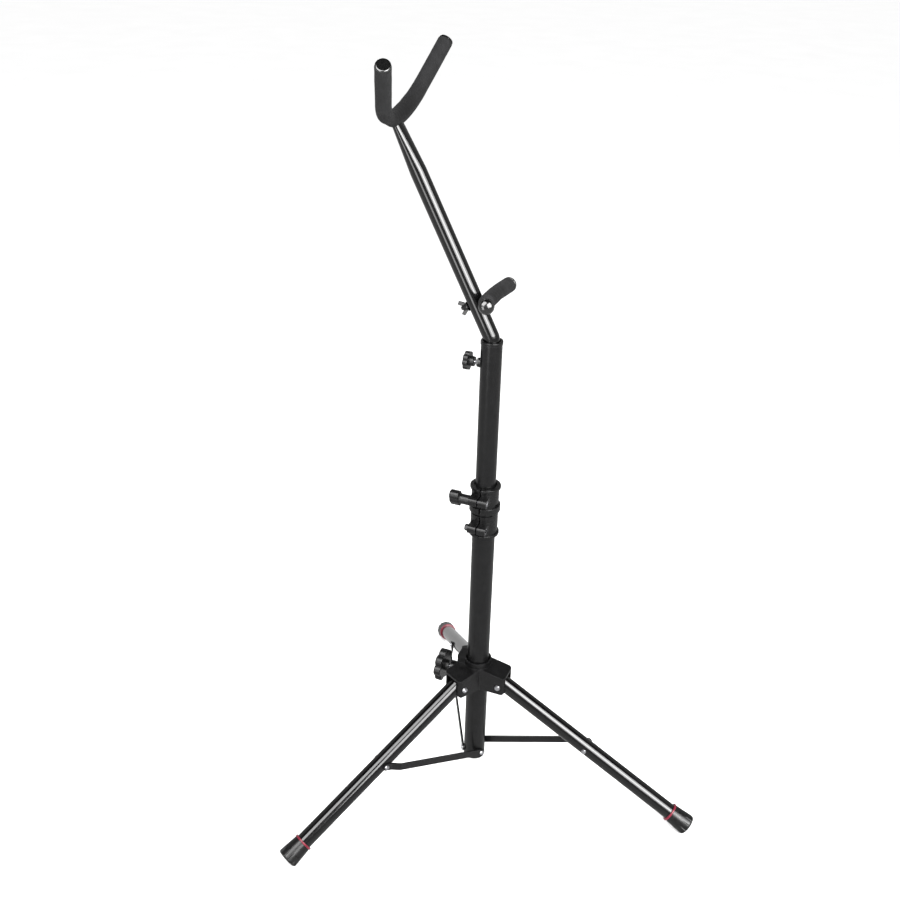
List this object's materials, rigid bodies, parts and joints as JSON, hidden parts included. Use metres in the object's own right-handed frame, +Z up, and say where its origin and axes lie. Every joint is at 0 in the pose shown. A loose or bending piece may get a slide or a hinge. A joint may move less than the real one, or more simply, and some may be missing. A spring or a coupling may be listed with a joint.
{
  "type": "saxophone stand",
  "caption": "Tall folding tripod stand with a sliding mast, a bent neck rod, a padded yoke and a padded fork that hold a saxophone upright.",
  "frame": {"origin": "on the floor, in the middle of the stand's footprint", "axes": "+Z up, +X towards the foot of leg 1, the neck rod leans towards -X and is turned 4.4 degrees towards -Y, +Y towards one arm of the yoke"},
  "size_m": [0.6281, 0.7198, 1.272],
  "materials": {
    "gloss_black_steel": "gloss black powder coat",
    "satin_black_steel": "satin black powder coat",
    "black_plastic": "moulded nylon, fine grain",
    "foam": "closed-cell foam sleeve, matte",
    "foot_rubber": "moulded rubber, slightly shiny",
    "red_plastic": "gloss red",
    "end_cap_plastic": "gloss black",
    "zinc_steel": "zinc-plated"
  },
  "bodies": {
    "column": {"column_tube": "satin_black_steel", "column_base_plug": "black_plastic", "brace_rivets_lower": "zinc_steel", "clamp_collar": "black_plastic", "clamp_inner_bush": "black_plastic", "clamp_fixing_bolt": "zinc_steel", "clamp_fixing_nut": "zinc_steel", "clamp_knob_nut": "zinc_steel"},
    "clamp_knob": {"clamp_knob_grip": "black_plastic", "clamp_knob_stud": "zinc_steel"},
    "hub": {"hub_body": "satin_black_steel", "hub_bush": "black_plastic", "hub_pivot_rivets": "zinc_steel", "hub_knob_nut": "zinc_steel"},
    "hub_knob": {"hub_knob_grip": "black_plastic", "hub_knob_stud": "zinc_steel"},
    "mast": {"mast_tube": "satin_black_steel", "mast_top_cap": "black_plastic", "mast_foot_bush": "black_plastic", "mast_screw_boss": "satin_black_steel"},
    "thumb_screw": {"thumb_screw_grip": "black_plastic", "thumb_screw_stud": "zinc_steel"},
    "neck": {"neck_rod": "gloss_black_steel", "rod_end_plug": "black_plastic", "yoke_bar": "satin_black_steel", "yoke_foam": "foam", "yoke_cap_near": "end_cap_plastic", "yoke_cap_far": "end_cap_plastic"},
    "fork": {"fork_bar": "satin_black_steel", "fork_foam": "foam", "fork_saddle": "satin_black_steel", "fork_bolt": "gloss_black_steel", "fork_washer": "gloss_black_steel", "fork_cap_near": "end_cap_plastic", "fork_cap_far": "end_cap_plastic"},
    "wing_nut": {"wing_nut": "gloss_black_steel"},
    "leg_1": {"leg_tube_1": "gloss_black_steel", "leg_top_plug_1": "black_plastic", "leg_foot_1": "foot_rubber", "leg_ring_1": "red_plastic", "leg_rivet_1": "zinc_steel"},
    "brace_1": {"brace_bar_1": "satin_black_steel", "brace_rivet_1": "zinc_steel"},
    "leg_2": {"leg_tube_2": "gloss_black_steel", "leg_top_plug_2": "black_plastic", "leg_foot_2": "foot_rubber", "leg_ring_2": "red_plastic", "leg_rivet_2": "zinc_steel"},
    "brace_2": {"brace_bar_2": "satin_black_steel", "brace_rivet_2": "zinc_steel"},
    "leg_3": {"leg_tube_3": "gloss_black_steel", "leg_top_plug_3": "black_plastic", "leg_foot_3": "foot_rubber", "leg_ring_3": "red_plastic", "leg_rivet_3": "zinc_steel"},
    "brace_3": {"brace_bar_3": "satin_black_steel", "brace_rivet_3": "zinc_steel"}
  },
  "joints": [
    {"name": "hub_slide", "type": "slide", "parent": "column", "child": "hub", "axis": [0, 0, 1], "range_m": [0, 0.23702]},
    {"name": "mast_slide", "type": "slide", "parent": "column", "child": "mast", "axis": [0, 0, 1], "range_m": [-0.19, 0.15]},
    {"name": "neck_swivel", "type": "hinge", "parent": "mast", "child": "neck", "pos_m": [-0.1, 0, 0.85], "axis": [0, 0, 1], "continuous": true},
    {"name": "fork_tilt", "type": "hinge", "parent": "neck", "child": "fork", "pos_m": [-0.12665, -0.00205, 0.91388], "axis": [0.8915, 0.0686, 0.4478], "range_deg": [-90, 90]},
    {"name": "wing_nut_turn", "type": "hinge", "parent": "fork", "child": "wing_nut", "pos_m": [-0.1427, -0.00329, 0.90582], "axis": [0.8915, 0.0686, 0.4478], "continuous": true},
    {"name": "hub_knob_turn", "type": "hinge", "parent": "hub", "child": "hub_knob", "pos_m": [-0.168, 0, 0.2185], "axis": [-1, 0, 0], "continuous": true},
    {"name": "clamp_knob_turn", "type": "hinge", "parent": "column", "child": "clamp_knob", "pos_m": [-0.13, -0.031, 0.59], "axis": [-1, 0, 0], "continuous": true},
    {"name": "thumb_screw_turn", "type": "hinge", "parent": "mast", "child": "thumb_screw", "pos_m": [-0.13, 0, 0.8185], "axis": [-1, 0, 0], "continuous": true},
    {"name": "leg_fold_1", "type": "hinge", "parent": "hub", "child": "leg_1", "pos_m": [-0.0543, 0, 0.217], "axis": [0, 1, 0], "range_deg": [0, 60.57]},
    {"name": "brace_fold_1", "type": "hinge", "parent": "column", "child": "brace_1", "pos_m": [-0.1, 0, 0.048], "axis": [0, -1, 0], "range_deg": [0, 58.22]},
    {"name": "leg_fold_2", "type": "hinge", "parent": "hub", "child": "leg_2", "pos_m": [-0.12285, 0.03958, 0.217], "axis": [-0.866, -0.5, 0], "range_deg": [0, 60.57]},
    {"name": "brace_fold_2", "type": "hinge", "parent": "column", "child": "brace_2", "pos_m": [-0.1, 0, 0.048], "axis": [0.866, 0.5, 0], "range_deg": [0, 58.22]},
    {"name": "leg_fold_3", "type": "hinge", "parent": "hub", "child": "leg_3", "pos_m": [-0.12285, -0.03958, 0.217], "axis": [0.866, -0.5, 0], "range_deg": [0, 60.57]},
    {"name": "brace_fold_3", "type": "hinge", "parent": "column", "child": "brace_3", "pos_m": [-0.1, 0, 0.048], "axis": [-0.866, 0.5, 0], "range_deg": [0, 58.22]}
  ],
  "couplings": [
    {"joint": "leg_fold_1", "follows": "hub_slide", "rad_per_m": 4.4526},
    {"joint": "brace_fold_1", "follows": "hub_slide", "rad_per_m": 4.2799},
    {"joint": "leg_fold_2", "follows": "hub_slide", "rad_per_m": 4.4526},
    {"joint": "brace_fold_2", "follows": "hub_slide", "rad_per_m": 4.2799},
    {"joint": "leg_fold_3", "follows": "hub_slide", "rad_per_m": 4.4526},
    {"joint": "brace_fold_3", "follows": "hub_slide", "rad_per_m": 4.2799}
  ]
}
